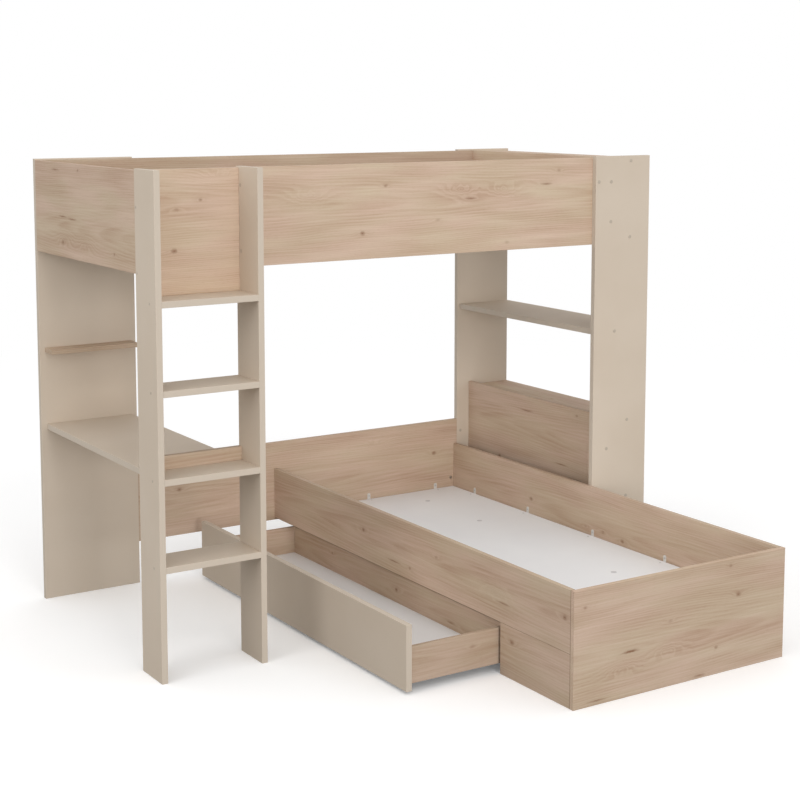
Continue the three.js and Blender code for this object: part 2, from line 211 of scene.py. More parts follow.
def place_of(name: str) -> tuple[Vector, Vector, Vector]:
    """Finds where a CAD node is.

    Args:
        name: The node's name.

    Returns:
        Its lowest corner, its highest corner and its middle.
    """
    low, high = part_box(name)
    return low, high, (low + high) / 2


def share(low: float, high: float, part: float) -> float:
    """Gives the value that lies part of the way from low to high."""
    return low + (high - low) * part


# Finishes


@dataclass(frozen=True)
class Skin:
    """How a pressed or moulded surface meets the light.

    Its roughness runs from smooth to rough where its grain goes from low to high. Its bumps are height high,
    and relief is how plainly they show.
    """

    smooth: float
    rough: float
    relief: float
    height: float
    ior: float = 1.5
    specular: float = 0.5
    low: float = 0.3
    high: float = 0.7

    def lay(self, add: Add, colour: Wire, grain: Wire, bumps: Wire) -> None:
        """Ends a material with its shader.

        Args:
            add: Adds a node to the material.
            colour: The finished colour.
            grain: Noise that makes the gloss uneven.
            bumps: What the relief follows.
        """
        gloss = add("MapRange", {
            "Value": grain, "From Min": self.low, "From Max": self.high, "To Min": self.smooth,
            "To Max": self.rough,
        })
        relief = add("Bump", {"Height": bumps, "Strength": self.relief, "Distance": self.height})
        shader = add("BsdfPrincipled", {
            "Base Color": colour, "Roughness": gloss, "Normal": relief, "IOR": self.ior,
            "Specular IOR Level": self.specular,
        })
        add("OutputMaterial", {"Surface": shader})


@dataclass(frozen=True)
class Layer:
    """Noise drawn out along the grain, for one layer of the wood print.

    long and wide are the size of its patches, detail and fineness how much finer noise lies on them, and
    steps how far it moves on for a board's seed. Where it goes from low to high, it darkens the wood by least
    to most.
    """

    long: float
    wide: float
    detail: float
    low: float = 0.0
    high: float = 1.0
    least: float = 0.0
    most: float = 1.0
    fineness: float = 0.55
    steps: Triple = (5.0, 7.0, 1.0)

    def noise(self, add: Add, spot: Wire, seed: float) -> bpy.types.Node:
        """Draws the noise at the seed's own place.

        Args:
            add: Adds a node to the material.
            spot: Board coordinates.
            seed: The board's own number.

        Returns:
            The noise.
        """
        drawn = add("Mapping", {
            "Vector": spot, "Scale": (1 / self.long, 1 / self.wide, 1 / self.wide),
            "Location": [seed * step for step in self.steps],
        })
        return add("TexNoise", {
            "Vector": drawn, "Scale": 1.0, "Detail": self.detail, "Roughness": self.fineness,
        })


@dataclass(frozen=True)
class WoodPrint:
    """Melamine-faced chipboard with a printed light wood.

    The eye sees a pinkish beige board with fine straight grain, arches and small knots, and a dry satin
    surface. pith is how far up the board the heart of the figure lies, slope how fast the arches run out, and
    tone how far this board's print is lightened or darkened to paint the light and shade that falls on it.
    Knots lie along and across from the board's low corner, in millimetres. The pores are drawn coarser than
    real, so that they show. Each listed side gets a painted shadow line along its butt with the next board.
    """

    board: str
    lie: Lie
    pith: float = 0.5
    slope: float = 0.02
    seed: float = 0.0
    knots: dict[Mark, tuple[Pair, ...]] = field(default_factory=dict)
    # Sides that get a painted shadow line where the board butts on the next one
    shadow_line_sides: tuple[Side, ...] = ()
    # tone lightens or darkens the print to paint the light and shade that falls on this board
    tone: float = 1.0
    edge_tone: float = 0.94
    light: str = "#cfb7a4"
    late: str = "#ad8f77"
    cool: str = "#cab8a0"
    heart: str = "#8a6850"
    # The painted shadow line's colour, width, sharpness and strength
    shadow_line_colour: str = "#7d6654"
    shadow_line_width: float = 2.2 * MM
    shadow_line_sharpness: float = 0.3
    shadow_line_strength: float = 0.9
    ring_pitch: float = 6 * MM
    ring_full: float = 0.72
    ring_end: float = 0.78
    ring_strength: Pair = (0.06, 0.26)
    ring_fade: Pair = (0.35, 0.65)
    pith_depth: float = 110 * MM
    curl_pitch: float = 34 * MM
    curl_strength: float = 0.05
    curl_drift: float = 9.0
    curl_drift_size: float = 71.4 * MM
    jitter: Triple = (10 * MM, 4 * MM, 0.0)
    jitter_size: float = 11.11 * MM
    eddy_lift: float = 0.5
    halo: float = 0.28
    core: float = 1.3
    wander_reach: float = 50 * MM
    ripple_reach: float = 6 * MM
    wander: Layer = Layer(1000 * MM, 294 * MM, 2.0, fineness=0.5, steps=(1.0, 2.0, 3.0))
    ripple: Layer = Layer(166.7 * MM, 25 * MM, 2.0)
    blotch: Layer = Layer(416.7 * MM, 100 * MM, 2.0, 0.34, 0.66)
    smudge: Layer = Layer(384.6 * MM, 58.82 * MM, 1.0, 0.34, 0.68, -0.04, 0.2)
    bands: Layer = Layer(500 * MM, 7.407 * MM, 3.0, 0.35, 0.7, -0.03, 0.19)
    fibre: Layer = Layer(200 * MM, 2.941 * MM, 4.0, 0.3, 0.75, -0.02, 0.29)
    pores: Layer = Layer(25 * MM, 1.25 * MM, 1.0, 0.6, 0.72, 0.0, 0.25, 0.5, (0.0, 0.0, 0.0))
    skin: Skin = Skin(0.6, 0.7, 0.35, 0.05 * MM, specular=0.16)

    def material(self) -> Material:
        """Builds the board's own material.

        Returns:
            The material.
        """
        material, add = new_material(f"melamine_wood_print_{self.board}")
        spot = self._board_coordinates(add)
        flow = self._flow(add, spot)
        eddies, cores, curls = self._marks(add, spot)
        rings = self._rings(add, flow, eddies)
        fibre = self.fibre.noise(add, flow, self.seed)
        pores = add("MapRange", {
            "Value": self.pores.noise(add, flow, self.seed), "From Min": self.pores.low,
            "From Max": self.pores.high,
        }, interpolation_type="SMOOTHSTEP")
        wood = self._wood(add, flow, rings, curls, fibre, pores)
        marked = add("Mix", {0: cores, MIX_FIRST: wood, MIX_SECOND: linear(self.heart)}, data_type="RGBA")
        # Painted shadow lines go along the butted sides
        colour = self._paint_shadow_lines(add, spot, self._edges(add, marked))
        relief = add("Math", {0: fibre, 1: pores}, operation="SUBTRACT")
        self.skin.lay(add, colour, fibre, relief)
        return material

    def _board_coordinates(self, add: Add) -> Wire:
        """Turns the room's axes to along, across and through, from the board's low corner.

        Args:
            add: Adds a node to the material.

        Returns:
            Board coordinates.
        """
        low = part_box(self.board)[0]
        seen = add("TexCoord")
        split = add("SeparateXYZ", {0: seen.outputs["Object"]})
        turned = add("CombineXYZ", {way: split.outputs[axis] for way, axis in enumerate(self.lie.value)})
        return add("Mapping", {
            "Vector": turned, "Location": [low[axis] for axis in self.lie.value],
        }, vector_type="TEXTURE")

    def _flow(self, add: Add, spot: Wire) -> Wire:
        """Lets the grain wander slowly and ripple across the board.

        Args:
            add: Adds a node to the material.
            spot: Board coordinates.

        Returns:
            Board coordinates with the grain's wander in them.
        """
        lifted = add("Math", {
            0: self.wander.noise(add, spot, self.seed), 1: self.wander_reach, 2: -self.wander_reach / 2,
        }, operation="MULTIPLY_ADD")
        rippled = add("Math", {
            0: self.ripple.noise(add, spot, self.seed), 1: self.ripple_reach, 2: lifted,
        }, operation="MULTIPLY_ADD")
        shift = add("CombineXYZ", {"Y": rippled})
        return add("VectorMath", {0: spot, 1: shift}, operation="ADD")

    def _marks(self, add: Add, spot: Wire) -> tuple[Wire, Wire, Wire]:
        """Adds up the knots.

        Args:
            add: Adds a node to the material.
            spot: Board coordinates.

        Returns:
            How far the knots push the grain aside, in metres, how dark their hearts are, and where the grain
            curls.
        """
        rough = add("TexNoise", {"Vector": spot, "Scale": 1 / self.jitter_size})
        loose = add("VectorMath", {
            0: rough.outputs["Color"], 1: self.jitter, 2: spot,
        }, operation="MULTIPLY_ADD")
        curled = any(mark.value.curl for mark in self.knots)
        swing = self._swing(add, spot, loose) if curled else 0.0
        eddies, cores, curls = 0.0, 0.0, 0.0
        for mark, place in [(mark, place) for mark, places in self.knots.items() for place in places]:
            shape = mark.value
            swell = self._patch(add, loose, place, (shape.eddy_along, shape.eddy_across), "QUADRATIC_SPHERE")
            heart = self._patch(add, loose, place, (shape.core_along, shape.core_across), "SPHERICAL")
            lift = shape.eddy_across * self.eddy_lift
            eddies = add("Math", {0: swell, 1: lift, 2: eddies}, operation="MULTIPLY_ADD")
            if shape.curl:
                sway = add("Math", {0: swing, 1: swell}, operation="MULTIPLY")
                eddies = add("Math", {0: sway, 1: shape.curl, 2: eddies}, operation="MULTIPLY_ADD")
                curls = add("Math", {0: swell, 1: curls}, operation="ADD")
            for fade, strength in ((swell, self.halo), (heart, self.core)):
                dark = shape.darkness * strength
                cores = add("Math", {0: fade, 1: dark, 2: cores}, operation="MULTIPLY_ADD")
        return eddies, cores, curls

    def _swing(self, add: Add, spot: Wire, loose: Wire) -> Wire:
        """Makes the wave along the grain that curls follow, at an unsteady pitch.

        Args:
            add: Adds a node to the material.
            spot: Board coordinates.
            loose: Board coordinates that jitter a little.

        Returns:
            The wave, from -1 to 1.
        """
        drift = add("TexNoise", {"Vector": spot, "Scale": 1 / self.curl_drift_size, "Detail": 1.0})
        split = add("SeparateXYZ", {0: loose})
        turn = add("Math", {0: split.outputs["X"], 1: 2 * math.pi / self.curl_pitch}, operation="MULTIPLY")
        unsteady = add("Math", {0: drift, 1: self.curl_drift, 2: turn}, operation="MULTIPLY_ADD")
        return add("Math", {0: unsteady}, operation="SINE")

    def _patch(self, add: Add, loose: Wire, place: Pair, reach: Pair, falloff: str) -> Wire:
        """Fades an oval from 1 at a knot's middle to 0.

        Args:
            add: Adds a node to the material.
            loose: Board coordinates that jitter a little, always forwards.
            place: Where its middle lies, in millimetres.
            reach: Its half length and half width.
            falloff: The gradient's type.

        Returns:
            The fade.
        """
        middle = (place[0] * MM + self.jitter[0] / 2, place[1] * MM + self.jitter[1] / 2, 0.0)
        oval = add("Mapping", {
            "Vector": loose, "Location": middle, "Scale": (*reach, 1.0),
        }, vector_type="TEXTURE")
        return add("TexGradient", {0: oval}, gradient_type=falloff).outputs["Fac"]

    def _rings(self, add: Add, flow: Wire, eddies: Wire) -> Wire:
        """Year rings cut lengthways: straight lines at the board's sides and arches over its heart.

        Args:
            add: Adds a node to the material.
            flow: Board coordinates with the grain's wander in them.
            eddies: How far the knots push the grain aside.

        Returns:
            0 in the early wood, rising to 1 in the dark late wood.
        """
        low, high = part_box(self.board)
        across = self.lie.value[1]
        from_pith = add("VectorMath", {
            0: flow, 1: (0.0, (high[across] - low[across]) * self.pith, -self.pith_depth),
        }, operation="SUBTRACT")
        flat = add("VectorMath", {0: from_pith, 1: (0.0, 1.0, 1.0)}, operation="MULTIPLY")
        reach = add("VectorMath", {0: flat}, operation="LENGTH")
        split = add("SeparateXYZ", {0: from_pith})
        tilted = add("Math", {0: split.outputs["X"], 1: self.slope, 2: reach}, operation="MULTIPLY_ADD")
        pushed = add("Math", {0: tilted, 1: eddies}, operation="ADD")
        count = add("Math", {0: pushed, 1: self.ring_pitch}, operation="DIVIDE")
        turn = add("Math", {0: count}, operation="FRACT")
        rise = add("MapRange", {"Value": turn, "From Max": self.ring_full}, interpolation_type="SMOOTHSTEP")
        fall = add("MapRange", {
            "Value": turn, "From Min": self.ring_end, "To Min": 1.0, "To Max": 0.0,
        }, interpolation_type="SMOOTHSTEP")
        return add("Math", {0: rise, 1: fall}, operation="MULTIPLY")

    def _wood(self, add: Add, flow: Wire, rings: Wire, curls: Wire, fibre: Wire, pores: Wire) -> Wire:
        """Lays the print's tones over each other, on patches that turn from pink to grey.

        Args:
            add: Adds a node to the material.
            flow: Board coordinates with the grain's wander in them.
            rings: The year rings.
            curls: Where the grain curls, and its rings show more.
            fibre: The finest streaks.
            pores: The short dashes.

        Returns:
            The wood's colour, without its knots.
        """
        cloud = add("MapRange", {
            "Value": self.blotch.noise(add, flow, self.seed), "From Min": self.blotch.low,
            "From Max": self.blotch.high,
        }, interpolation_type="SMOOTHSTEP")
        ground = add("Mix", {
            0: cloud, MIX_FIRST: self._painted_light_toned(self.light), MIX_SECOND: self._painted_light_toned(self.cool),
        }, data_type="RGBA")
        smudge = self.smudge.noise(add, flow, self.seed)
        strength = add("MapRange", {
            "Value": smudge, "From Min": self.ring_fade[0], "From Max": self.ring_fade[1],
            "To Min": self.ring_strength[0], "To Max": self.ring_strength[1],
        })
        raised = add("Math", {0: curls, 1: self.curl_strength, 2: strength}, operation="MULTIPLY_ADD")
        dark = add("Math", {0: rings, 1: raised}, operation="MULTIPLY")
        bands = self.bands.noise(add, flow, self.seed)
        for layer, noise in ((self.fibre, fibre), (self.bands, bands), (self.smudge, smudge)):
            shade = add("MapRange", {
                "Value": noise, "From Min": layer.low, "From Max": layer.high, "To Min": layer.least,
                "To Max": layer.most,
            })
            dark = add("Math", {0: dark, 1: shade}, operation="ADD")
        pitted = add("Math", {
            0: pores, 1: self.pores.most, 2: dark,
        }, operation="MULTIPLY_ADD", use_clamp=True)
        return add("Mix", {
            0: pitted, MIX_FIRST: ground, MIX_SECOND: self._painted_light_toned(self.late),
        }, data_type="RGBA")

    def _painted_light_toned(self, colour: str) -> tuple[float, float, float, float]:
        """Gives one of the print's colours, lightened or darkened by tone to paint this board's light and
        shade, in linear light.
        """
        red, green, blue, alpha = linear(colour)
        return red * self.tone, green * self.tone, blue * self.tone, alpha

    def _edges(self, add: Add, colour: Wire) -> Wire:
        """Shades the narrow faces, whose glued edge band differs a little from the print.

        Args:
            add: Adds a node to the material.
            colour: The print's colour.

        Returns:
            The colour with its edges shaded.
        """
        seen = add("TexCoord")
        split = add("SeparateXYZ", {0: seen.outputs["Normal"]})
        flat = add("Math", {0: split.outputs[self.lie.value[2]]}, operation="ABSOLUTE")
        tone = add("MapRange", {
            "Value": flat, "From Min": EDGE_TURN, "From Max": FACE_TURN, "To Min": self.edge_tone,
        }, interpolation_type="SMOOTHSTEP")
        return add("VectorMath", {0: colour, "Scale": tone}, operation="SCALE")

    def _paint_shadow_lines(self, add: Add, spot: Wire, colour: Wire) -> Wire:
        """Paints a thin shadow line along the board's edge where it butts on the next one, as the shade in
        the fine gap there.

        Args:
            add: Adds a node to the material.
            spot: Board coordinates.
            colour: The print's colour.

        Returns:
            The colour with the painted shadow lines in it.
        """
        split = add("SeparateXYZ", {0: spot})
        for side in self.shadow_line_sides:
            near = add("Math", {0: split.outputs[side.value]}, operation="ABSOLUTE")
            shadow_line = add("MapRange", {
                "Value": near, "From Min": self.shadow_line_width, "From Max": self.shadow_line_width * self.shadow_line_sharpness,
                "To Max": self.shadow_line_strength,
            }, interpolation_type="SMOOTHSTEP")
            colour = add("Mix", {
                0: shadow_line, MIX_FIRST: colour, MIX_SECOND: linear(self.shadow_line_colour),
            }, data_type="RGBA")
        return colour


@dataclass(frozen=True)
class PlainMelamine:
    """Chipboard faced with plain melamine, pressed on a fine pearl plate, with a smoother edge band.

    The eye sees one even colour with a dry satin sheen that breaks up finely. The real pearl is about
    0.5 mm, and it is drawn 3 mm coarse so that it shows. thin is the axis through the board.
    """

    name: str
    face: str
    cloud: str
    band: str
    thin: Axis
    pearl: float = 3 * MM
    cloud_size: float = 333.3 * MM
    cloud_detail: float = 3.0
    cloud_fade: Pair = (0.35, 0.65)
    speckle: float = 0.6
    contrast: float = 0.6
    skin: Skin = Skin(0.57, 0.67, 0.3, 0.06 * MM, specular=0.16)

    def material(self) -> Material:
        """Builds the finish for boards that lie one way.

        Returns:
            The material.
        """
        material, add = new_material(f"{self.name}_{self.thin.name.lower()}")
        seen = add("TexCoord")
        drift = add("TexNoise", {
            "Vector": seen.outputs["Object"], "Scale": 1 / self.cloud_size, "Detail": self.cloud_detail,
        })
        fine = add("TexNoise", {"Vector": seen.outputs["Object"], "Scale": 1 / self.pearl})
        shade = add("MapRange", {
            "Value": drift, "From Min": self.cloud_fade[0], "From Max": self.cloud_fade[1],
        }, interpolation_type="SMOOTHSTEP")
        speck = add("Math", {0: fine, 1: self.speckle, 2: shade}, operation="MULTIPLY_ADD")
        blend = add("Math", {0: speck, 1: self.contrast}, operation="MULTIPLY", use_clamp=True)
        board = add("Mix", {
            0: blend, MIX_FIRST: linear(self.face), MIX_SECOND: linear(self.cloud),
        }, data_type="RGBA")
        split = add("SeparateXYZ", {0: seen.outputs["Normal"]})
        upright = add("Math", {0: split.outputs[self.thin]}, operation="ABSOLUTE")
        edge = add("MapRange", {
            "Value": upright, "From Min": FACE_TURN, "From Max": EDGE_TURN,
        }, interpolation_type="SMOOTHSTEP")
        colour = add("Mix", {0: edge, MIX_FIRST: board, MIX_SECOND: linear(self.band)}, data_type="RGBA")
        self.skin.lay(add, colour, fine, fine)
        return material


@dataclass(frozen=True)
class MouldedPlastic:
    """Injection-moulded plastic with a lightly spark-eroded skin.

    The eye sees a soft sheen and slight flow clouds. grain is the size of the mould's grain.
    """

    name: str
    colour: str
    cloud: str
    roughness: float
    grain: float = 0.8 * MM
    flow: float = 16.67 * MM
    unevenness: float = 0.05
    relief: float = 0.4
    height: float = 0.03 * MM
    ior: float = 1.49

    def material(self) -> Material:
        """Builds the plastic.

        Returns:
            The material.
        """
        material, add = new_material(self.name)
        seen = add("TexCoord").outputs["Object"]
        flow = add("TexNoise", {"Vector": seen, "Scale": 1 / self.flow})
        grain = add("TexNoise", {"Vector": seen, "Scale": 1 / self.grain})
        colour = add("Mix", {
            0: flow, MIX_FIRST: linear(self.colour), MIX_SECOND: linear(self.cloud),
        }, data_type="RGBA")
        smooth, rough = self.roughness - self.unevenness, self.roughness + self.unevenness
        skin = Skin(smooth, rough, self.relief, self.height, self.ior)
        skin.lay(add, colour, grain, grain)
        return material


@dataclass(frozen=True)
class PlatedMetal:
    """Zinc, die-cast for the cams and plated on steel for the screws.

    The eye sees a dull grey metal with small brighter and darker crystals, which are smoother and rougher.
    """

    name: str
    bright: str
    dull: str
    roughness: float
    smoother: float = 0.05
    rougher: float = 0.1
    crystal: float = 1.2 * MM

    def material(self) -> Material:
        """Builds the metal.

        Returns:
            The material.
        """
        material, add = new_material(self.name)
        seen = add("TexCoord")
        cells = add("TexVoronoi", {"Vector": seen.outputs["Object"], "Scale": 1 / self.crystal})
        tone = add("SeparateColor", {0: cells.outputs["Color"]})
        colour = add("Mix", {
            0: tone, MIX_FIRST: linear(self.bright), MIX_SECOND: linear(self.dull),
        }, data_type="RGBA")
        gloss = add("MapRange", {
            "Value": tone, "To Min": self.roughness - self.smoother,
            "To Max": self.roughness + self.rougher,
        })
        shader = add("BsdfPrincipled", {"Base Color": colour, "Roughness": gloss, "Metallic": 1.0})
        add("OutputMaterial", {"Surface": shader})
        return material


class Palette:
    """The plain finishes, each built once and shared by the pieces that have it."""

    def __init__(self) -> None:
        """Builds every finish that is not a wood print."""
        beige = ("beige_melamine", "#d1c3b2", "#ccbdab", "#cabdad")
        white = ("white_melamine", "#f5f5f5", "#f0f0f1", "#f6f6f6")
        self.beige = {axis: PlainMelamine(*beige, axis).material() for axis in Axis}
        self.white = {axis: PlainMelamine(*white, axis).material() for axis in Axis}
        self.cap = MouldedPlastic("polyethylene_cap", "#bcb0a0", "#b3a797", 0.42).material()
        self.base_cap = MouldedPlastic("white_polyethylene_cap", "#d3d1d3", "#cbc9cc", 0.4).material()
        self.clip = MouldedPlastic("white_polypropylene_clip", "#dcd9d4", "#d3cfc9", 0.45).material()
        self.housing = MouldedPlastic("black_nylon_housing", "#2c2c2e", "#343437", 0.42).material()
        self.tyre = MouldedPlastic("grey_rubber_tread", "#4d4e52", "#45464a", 0.62, 1.2 * MM).material()
        self.cam = PlatedMetal("die_cast_zinc_cam", "#b5aca1", "#998f83", 0.45).material()
        self.screw = PlatedMetal("zinc_plated_screw", "#d2d2d1", "#bfc0c1", 0.42).material()


def dress(names: Iterable[str], material: Material) -> None:
    """Gives CAD nodes a finish.

    Args:
        names: The nodes' names.
        material: What they get.
    """
    for name in names:
        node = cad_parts[name]
        for slot in node.material_slots:
            slot.material = material
        LOG.info("dressed %s in %s", name, material.name)


def dress_in_wood(*prints: WoodPrint) -> None:
    """Gives each print's board its own finish."""
    for wood in prints:
        dress((wood.board,), wood.material())


# Modelling by hand


def choose(*pieces: Object) -> None:
    """Selects what the next operator acts on, and nothing else.

    Args:
        *pieces: What is selected, the active one first.
    """
    bpy.ops.object.select_all(action="DESELECT")
    for piece in pieces:
        piece.select_set(True)
    if pieces:
        bpy.context.view_layer.objects.active = pieces[0]


def pick(piece: Object, kind: str, test: Callable[[Part], bool]) -> None:
    """Selects the faces or the edges that pass a test, in edit mode.

    Args:
        piece: The object in edit mode.
        kind: FACE or EDGE.
        test: Says whether a face or an edge is wanted.
    """
    bpy.ops.mesh.select_mode(type=kind)
    bpy.ops.mesh.select_all(action="DESELECT")
    mesh = bmesh.from_edit_mesh(piece.data)
    for part in mesh.faces if kind == "FACE" else mesh.edges:
        part.select_set(test(part))
    bmesh.update_edit_mesh(piece.data)


@dataclass(frozen=True)
class TurnedFitting:
    """A round fitting that looks up, with its seat at height 0.

    proud is how far its face stands over the seat, which is less than 0 in a recess. A dish is the hollow
    in its face, and a cross is for a driver. The slots' width and depth are shares of the cross, and their
    taper is the share of their size that is left at the bottom.
    """

    radius: float
    height: float
    proud: float
    chamfer: float
    dish_inset: float = 0.0
    dish_depth: float = 0.0
    cross: float = 0.0
    sides: int = 24
    rounding_steps: int = 3
    slot_width: float = 0.28
    slot_depth: float = 0.3
    slot_taper: float = 0.6
    smooth_angle: float = math.radians(40)

    def model(self) -> Object:
        """Models the fitting once.

        Returns:
            A template at the origin, which is copied to its places and then thrown away.
        """
        choose()
        bpy.ops.mesh.primitive_cylinder_add(
            vertices=self.sides, radius=self.radius, depth=self.height,
            location=(0.0, 0.0, self.proud - self.height / 2),
        )
        piece = bpy.context.object
        bpy.ops.object.transform_apply(location=True, rotation=True, scale=True)
        top = self.proud - TOUCH
        bpy.ops.object.mode_set(mode="EDIT")
        pick(piece, "EDGE", lambda edge: all(vertex.co.z > top for vertex in edge.verts))
        bpy.ops.mesh.bevel(offset=self.chamfer, segments=self.rounding_steps, affect="EDGES")
        if self.dish_depth:
            pick(piece, "FACE", lambda face: face.normal.z > LOOKS_UP and face.calc_center_median().z > top)
            bpy.ops.mesh.inset(thickness=self.dish_inset, depth=0.0)
            bpy.ops.mesh.inset(thickness=self.dish_depth, depth=-self.dish_depth)
        bpy.ops.object.mode_set(mode="OBJECT")
        if self.cross:
            self._cut_cross(piece)
        choose(piece)
        bpy.ops.object.shade_smooth_by_angle(angle=self.smooth_angle)
        return piece

    def _cut_cross(self, piece: Object) -> None:
        """Sinks the cross in the fitting's top, slot by slot.

        Args:
            piece: The fitting.
        """
        top = max(vertex.co.z for vertex in piece.data.vertices)
        width, depth = self.cross * self.slot_width, self.cross * self.slot_depth
        for along, across in ((self.cross, width), (width, self.cross)):
            choose()
            bpy.ops.mesh.primitive_cube_add(size=1.0, location=(0.0, 0.0, top))
            tool = bpy.context.object
            tool.scale = (along, across, 2 * depth)
            bpy.ops.object.transform_apply(location=True, rotation=True, scale=True)
            bpy.ops.object.mode_set(mode="EDIT")
            pick(tool, "FACE", lambda face: face.normal.z < -LOOKS_UP)
            bpy.ops.transform.resize(value=(self.slot_taper, self.slot_taper, 1.0))
            bpy.ops.object.mode_set(mode="OBJECT")
            choose(piece)
            slot = piece.modifiers.new("cross", "BOOLEAN")
            slot.operation = "DIFFERENCE"
            slot.solver = "EXACT"
            slot.object = tool
            bpy.ops.object.modifier_apply(modifier=slot.name)
            bpy.data.objects.remove(tool)


COVER_CAP = TurnedFitting(4.6 * MM, 2.4 * MM, -0.2 * MM, 0.5 * MM, 1.2 * MM, 0.25 * MM)
FLANGED_CAP = TurnedFitting(7.0 * MM, 1.1 * MM, 1.0 * MM, 0.6 * MM, 1.4 * MM, 0.15 * MM, sides=32)
CAM_DISC = TurnedFitting(7.2 * MM, 11 * MM, -0.4 * MM, 0.6 * MM, 1.4 * MM, 0.5 * MM, 6.5 * MM, 32)
CAM_COVER = TurnedFitting(7.3 * MM, 3 * MM, -0.2 * MM, 0.5 * MM, 1.6 * MM, 0.2 * MM, sides=32)
PAN_SCREW = TurnedFitting(3.5 * MM, 2.0 * MM, 1.9 * MM, 0.9 * MM, cross=4.2 * MM)
FLAT_SCREW = TurnedFitting(3.6 * MM, 0.9 * MM, 0.35 * MM, 0.2 * MM, cross=4.0 * MM)
PLATE_SCREW = TurnedFitting(1.9 * MM, 1.6 * MM, 0.3 * MM, 0.25 * MM, cross=2.2 * MM, sides=16)
BASE_CAP = TurnedFitting(11 * MM, 1.2 * MM, 0.9 * MM, 0.45 * MM, 2.4 * MM, 0.2 * MM, sides=32)


def set_out(
    name: str, fitting: TurnedFitting, seats: Iterable[Seat], material: Material, body: str,
) -> None:
    """Copies a fitting to its seats and joins the copies to one piece.

    Args:
        name: The piece's name.
        fitting: What is copied.
        seats: Where the copies go.
        material: Their finish.
        body: The CAD body that they ride on.
    """
    template = fitting.model()
    copies = []
    for seat in seats:
        copy = template.copy()
        copy.data = template.data.copy()
        bpy.context.collection.objects.link(copy)
        copy.rotation_mode = "QUATERNION"
        copy.rotation_quaternion = UP.rotation_difference(Vector(seat.facing.value))
        copy.location = seat.point
        copies.append(copy)
    bpy.data.objects.remove(template)
    choose(*copies)
    piece = copies[0]
    bpy.ops.object.transform_apply(location=True, rotation=True, scale=True)
    if len(copies) > 1:
        bpy.ops.object.join()
    piece.name = name
    piece.data.name = name
    piece.rotation_mode = "XYZ"
    piece.data.materials.clear()
    piece.data.materials.append(material)
    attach(piece, body)
    LOG.info("made %s with %d parts", name, len(copies))


# Sub-assemblies


@dataclass
class Panels:
    """The three full-height panels, with caps over the screws that hold the boards between them."""

    palette: Palette
    shelf_share: float = 0.48
    middle_inset: float = 106 * MM
    guard_inset: float = 16 * MM
    guard_drop: float = 96 * MM
    end_shares: Pair = (0.26, 0.72)
    side_shares: Pair = (0.18, 0.82)
    desk_inset: float = 95 * MM
    bed_inset: float = 19 * MM
    bed_rise: float = 56 * MM

    def build(self) -> None:
        """Dresses the panels and fits their caps."""
        dress(("rear_left_panel", "rear_right_panel", "front_right_panel"), self.palette.beige[Axis.Y])
        front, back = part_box("front_right_panel")[0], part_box("rear_right_panel")[1]
        places = self._tower_places()
        proud = [Seat(Vector((x, front.y, z)), Facing.FRONT) for x, z in places]
        self._caps("front_right_panel_caps", proud, FLANGED_CAP)
        rear = [Seat(Vector((x, back.y, z)), Facing.BACK) for x, z in places]
        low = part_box("rear_right_panel")[0]
        bed_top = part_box("lower_far_side")[1].z
        bed_screw = Vector((low.x + self.bed_inset, low.y, bed_top + self.bed_rise))
        self._caps("rear_right_panel_caps", rear)
        self._caps("rear_right_panel_bed_cap", [Seat(bed_screw, Facing.FRONT)], FLANGED_CAP)
        low, high, _ = place_of("rear_left_panel")
        desk = place_of("desk_top")[2].z
        across = (low.x + self.desk_inset, high.x - self.desk_inset)
        self._caps("rear_left_panel_caps", [Seat(Vector((x, high.y, desk)), Facing.BACK) for x in across])

    def _tower_places(self) -> list[Pair]:
        """Finds the screw places on the bookcase's end panels.

        Returns:
            X and Z of each.
        """
        low, high, _ = place_of("bookcase_top_shelf")
        shelf_x = share(low.x, high.x, self.shelf_share)
        shelves = ("bookcase_top_shelf", "bookcase_upper_shelf", "cabinet_top", "cabinet_shelf")
        places = [(shelf_x, place_of(name)[2].z) for name in shelves]
        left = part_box("front_right_panel")[0].x
        places.append((left + self.middle_inset, place_of("bookcase_middle_shelf")[2].z))
        end_low, end_high, end_middle = place_of("upper_right_end")
        places.append((left + self.guard_inset, end_high.z - self.guard_drop))
        places += [(end_middle.x, share(end_low.z, end_high.z, part)) for part in self.end_shares]
        cabinet_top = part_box("cabinet_top")[1].z
        side_x = place_of("cabinet_side")[2].x
        places += [(side_x, share(0.0, cabinet_top, part)) for part in self.side_shares]
        return places

    def _caps(self, name: str, seats: list[Seat], cap: TurnedFitting = COVER_CAP) -> None:
        """Fits one panel's caps."""
        set_out(name, cap, seats, self.palette.cap, "carcass")


